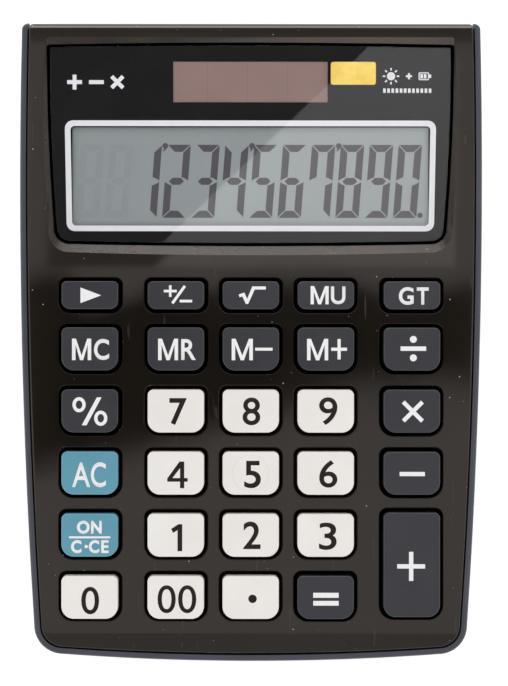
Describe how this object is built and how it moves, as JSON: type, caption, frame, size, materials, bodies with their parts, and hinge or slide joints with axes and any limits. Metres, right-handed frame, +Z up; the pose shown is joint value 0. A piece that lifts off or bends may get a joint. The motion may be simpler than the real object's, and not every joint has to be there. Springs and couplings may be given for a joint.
{
  "type": "desk calculator",
  "caption": "Wedge-shaped desk calculator with a recessed display under a clear window, sprung keys in a glossy cover and a sliding battery door.",
  "frame": {"origin": "middle of the bounding box's base, on the surface it stands on", "axes": "+Z up, +Y towards the display and the rear edge, +X to the right of the user"},
  "size_m": [0.1058, 0.1452, 0.0268],
  "materials": {
    "dark_key": "fine matt",
    "white_key": "fine matt",
    "blue_key": "fine matt",
    "cover_plastic": "polished",
    "case_plastic": "satin metallic",
    "window": "clear",
    "mask_print": "black print",
    "lcd_glass": "clear",
    "reflector": "grey green",
    "inner_plastic": "moulded",
    "ribbon": "film",
    "solar": "amorphous cell",
    "foam": "foam",
    "gold_foil": "foil",
    "board": "solder resist",
    "carbon": "carbon print",
    "epoxy": "potting resin",
    "capacitor": "sleeved can",
    "silicone": "silicone",
    "screw_steel": "zinc plated",
    "foot_rubber": "matt",
    "label_film": "silver film",
    "cell_jacket": "printed jacket",
    "contact_metal": "nickel plated",
    "wire_red": "insulation",
    "wire_black": "insulation"
  },
  "bodies": {
    "shell": {"top_cover": "cover_plastic", "bottom_case": "case_plastic", "display_window": "window", "display_mask": "mask_print", "lcd_front_glass": "lcd_glass", "lcd_rear_glass": "lcd_glass", "lcd_reflector": "reflector", "lcd_clamp": "inner_plastic", "lcd_ribbon": "ribbon", "solar_cell": "solar", "solar_pad": "foam", "foil_sticker": "gold_foil", "main_board": "board", "contact_pads": "carbon", "chip_blob": "epoxy", "board_capacitor": "capacitor", "board_resistors": "epoxy", "dome_sheet": "silicone", "board_screws": "screw_steel", "case_screws": "screw_steel", "rubber_feet": "foot_rubber", "rating_label": "label_film", "battery_cell": "cell_jacket", "battery_plate": "contact_metal", "battery_spring": "contact_metal", "battery_lead_red": "wire_red", "battery_lead_black": "wire_black", "solar_lead_red": "wire_red", "solar_lead_black": "wire_black"},
    "key_backspace": {"key_backspace": "dark_key"},
    "key_sign": {"key_sign": "dark_key"},
    "key_square_root": {"key_square_root": "dark_key"},
    "key_mark_up": {"key_mark_up": "dark_key"},
    "key_grand_total": {"key_grand_total": "dark_key"},
    "key_memory_clear": {"key_memory_clear": "dark_key"},
    "key_memory_recall": {"key_memory_recall": "dark_key"},
    "key_memory_minus": {"key_memory_minus": "dark_key"},
    "key_memory_plus": {"key_memory_plus": "dark_key"},
    "key_divide": {"key_divide": "dark_key"},
    "key_percent": {"key_percent": "dark_key"},
    "key_multiply": {"key_multiply": "dark_key"},
    "key_minus": {"key_minus": "dark_key"},
    "key_plus": {"key_plus": "dark_key"},
    "key_equals": {"key_equals": "dark_key"},
    "key_7": {"key_7": "white_key"},
    "key_8": {"key_8": "white_key"},
    "key_9": {"key_9": "white_key"},
    "key_4": {"key_4": "white_key"},
    "key_5": {"key_5": "white_key"},
    "key_6": {"key_6": "white_key"},
    "key_1": {"key_1": "white_key"},
    "key_2": {"key_2": "white_key"},
    "key_3": {"key_3": "white_key"},
    "key_0": {"key_0": "white_key"},
    "key_00": {"key_00": "white_key"},
    "key_point": {"key_point": "white_key"},
    "key_all_clear": {"key_all_clear": "blue_key"},
    "key_on_clear": {"key_on_clear": "blue_key"},
    "battery_door": {"battery_door": "case_plastic"}
  },
  "joints": [
    {"name": "key_backspace_press", "type": "slide", "parent": "shell", "child": "key_backspace", "axis": [0, 0.1045, -0.9945], "range_m": [0, 0.0012], "stiffness_N_per_m": 350, "springref_m": -0.0006, "deforming": ["dome_sheet"]},
    {"name": "key_sign_press", "type": "slide", "parent": "shell", "child": "key_sign", "axis": [0, 0.1045, -0.9945], "range_m": [0, 0.0012], "stiffness_N_per_m": 350, "springref_m": -0.0006, "deforming": ["dome_sheet"]},
    {"name": "key_square_root_press", "type": "slide", "parent": "shell", "child": "key_square_root", "axis": [0, 0.1045, -0.9945], "range_m": [0, 0.0012], "stiffness_N_per_m": 350, "springref_m": -0.0006, "deforming": ["dome_sheet"]},
    {"name": "key_mark_up_press", "type": "slide", "parent": "shell", "child": "key_mark_up", "axis": [0, 0.1045, -0.9945], "range_m": [0, 0.0012], "stiffness_N_per_m": 350, "springref_m": -0.0006, "deforming": ["dome_sheet"]},
    {"name": "key_grand_total_press", "type": "slide", "parent": "shell", "child": "key_grand_total", "axis": [0, 0.1045, -0.9945], "range_m": [0, 0.0012], "stiffness_N_per_m": 350, "springref_m": -0.0006, "deforming": ["dome_sheet"]},
    {"name": "key_memory_clear_press", "type": "slide", "parent": "shell", "child": "key_memory_clear", "axis": [0, 0.1045, -0.9945], "range_m": [0, 0.0012], "stiffness_N_per_m": 350, "springref_m": -0.0006, "deforming": ["dome_sheet"]},
    {"name": "key_memory_recall_press", "type": "slide", "parent": "shell", "child": "key_memory_recall", "axis": [0, 0.1045, -0.9945], "range_m": [0, 0.0012], "stiffness_N_per_m": 350, "springref_m": -0.0006, "deforming": ["dome_sheet"]},
    {"name": "key_memory_minus_press", "type": "slide", "parent": "shell", "child": "key_memory_minus", "axis": [0, 0.1045, -0.9945], "range_m": [0, 0.0012], "stiffness_N_per_m": 350, "springref_m": -0.0006, "deforming": ["dome_sheet"]},
    {"name": "key_memory_plus_press", "type": "slide", "parent": "shell", "child": "key_memory_plus", "axis": [0, 0.1045, -0.9945], "range_m": [0, 0.0012], "stiffness_N_per_m": 350, "springref_m": -0.0006, "deforming": ["dome_sheet"]},
    {"name": "key_divide_press", "type": "slide", "parent": "shell", "child": "key_divide", "axis": [0, 0.1045, -0.9945], "range_m": [0, 0.0012], "stiffness_N_per_m": 350, "springref_m": -0.0006, "deforming": ["dome_sheet"]},
    {"name": "key_percent_press", "type": "slide", "parent": "shell", "child": "key_percent", "axis": [0, 0.1045, -0.9945], "range_m": [0, 0.0012], "stiffness_N_per_m": 350, "springref_m": -0.0006, "deforming": ["dome_sheet"]},
    {"name": "key_multiply_press", "type": "slide", "parent": "shell", "child": "key_multiply", "axis": [0, 0.1045, -0.9945], "range_m": [0, 0.0012], "stiffness_N_per_m": 350, "springref_m": -0.0006, "deforming": ["dome_sheet"]},
    {"name": "key_minus_press", "type": "slide", "parent": "shell", "child": "key_minus", "axis": [0, 0.1045, -0.9945], "range_m": [0, 0.0012], "stiffness_N_per_m": 350, "springref_m": -0.0006, "deforming": ["dome_sheet"]},
    {"name": "key_plus_press", "type": "slide", "parent": "shell", "child": "key_plus", "axis": [0, 0.1045, -0.9945], "range_m": [0, 0.0012], "stiffness_N_per_m": 350, "springref_m": -0.0006, "deforming": ["dome_sheet"]},
    {"name": "key_equals_press", "type": "slide", "parent": "shell", "child": "key_equals", "axis": [0, 0.1045, -0.9945], "range_m": [0, 0.0012], "stiffness_N_per_m": 350, "springref_m": -0.0006, "deforming": ["dome_sheet"]},
    {"name": "key_7_press", "type": "slide", "parent": "shell", "child": "key_7", "axis": [0, 0.1045, -0.9945], "range_m": [0, 0.0012], "stiffness_N_per_m": 350, "springref_m": -0.0006, "deforming": ["dome_sheet"]},
    {"name": "key_8_press", "type": "slide", "parent": "shell", "child": "key_8", "axis": [0, 0.1045, -0.9945], "range_m": [0, 0.0012], "stiffness_N_per_m": 350, "springref_m": -0.0006, "deforming": ["dome_sheet"]},
    {"name": "key_9_press", "type": "slide", "parent": "shell", "child": "key_9", "axis": [0, 0.1045, -0.9945], "range_m": [0, 0.0012], "stiffness_N_per_m": 350, "springref_m": -0.0006, "deforming": ["dome_sheet"]},
    {"name": "key_4_press", "type": "slide", "parent": "shell", "child": "key_4", "axis": [0, 0.1045, -0.9945], "range_m": [0, 0.0012], "stiffness_N_per_m": 350, "springref_m": -0.0006, "deforming": ["dome_sheet"]},
    {"name": "key_5_press", "type": "slide", "parent": "shell", "child": "key_5", "axis": [0, 0.1045, -0.9945], "range_m": [0, 0.0012], "stiffness_N_per_m": 350, "springref_m": -0.0006, "deforming": ["dome_sheet"]},
    {"name": "key_6_press", "type": "slide", "parent": "shell", "child": "key_6", "axis": [0, 0.1045, -0.9945], "range_m": [0, 0.0012], "stiffness_N_per_m": 350, "springref_m": -0.0006, "deforming": ["dome_sheet"]},
    {"name": "key_1_press", "type": "slide", "parent": "shell", "child": "key_1", "axis": [0, 0.1045, -0.9945], "range_m": [0, 0.0012], "stiffness_N_per_m": 350, "springref_m": -0.0006, "deforming": ["dome_sheet"]},
    {"name": "key_2_press", "type": "slide", "parent": "shell", "child": "key_2", "axis": [0, 0.1045, -0.9945], "range_m": [0, 0.0012], "stiffness_N_per_m": 350, "springref_m": -0.0006, "deforming": ["dome_sheet"]},
    {"name": "key_3_press", "type": "slide", "parent": "shell", "child": "key_3", "axis": [0, 0.1045, -0.9945], "range_m": [0, 0.0012], "stiffness_N_per_m": 350, "springref_m": -0.0006, "deforming": ["dome_sheet"]},
    {"name": "key_0_press", "type": "slide", "parent": "shell", "child": "key_0", "axis": [0, 0.1045, -0.9945], "range_m": [0, 0.0012], "stiffness_N_per_m": 350, "springref_m": -0.0006, "deforming": ["dome_sheet"]},
    {"name": "key_00_press", "type": "slide", "parent": "shell", "child": "key_00", "axis": [0, 0.1045, -0.9945], "range_m": [0, 0.0012], "stiffness_N_per_m": 350, "springref_m": -0.0006, "deforming": ["dome_sheet"]},
    {"name": "key_point_press", "type": "slide", "parent": "shell", "child": "key_point", "axis": [0, 0.1045, -0.9945], "range_m": [0, 0.0012], "stiffness_N_per_m": 350, "springref_m": -0.0006, "deforming": ["dome_sheet"]},
    {"name": "key_all_clear_press", "type": "slide", "parent": "shell", "child": "key_all_clear", "axis": [0, 0.1045, -0.9945], "range_m": [0, 0.0012], "stiffness_N_per_m": 350, "springref_m": -0.0006, "deforming": ["dome_sheet"]},
    {"name": "key_on_clear_press", "type": "slide", "parent": "shell", "child": "key_on_clear", "axis": [0, 0.1045, -0.9945], "range_m": [0, 0.0012], "stiffness_N_per_m": 350, "springref_m": -0.0006, "deforming": ["dome_sheet"]},
    {"name": "battery_door_slide", "type": "slide", "parent": "shell", "child": "battery_door", "axis": [0, 1, 0], "range_m": [0, 0.022]}
  ]
}
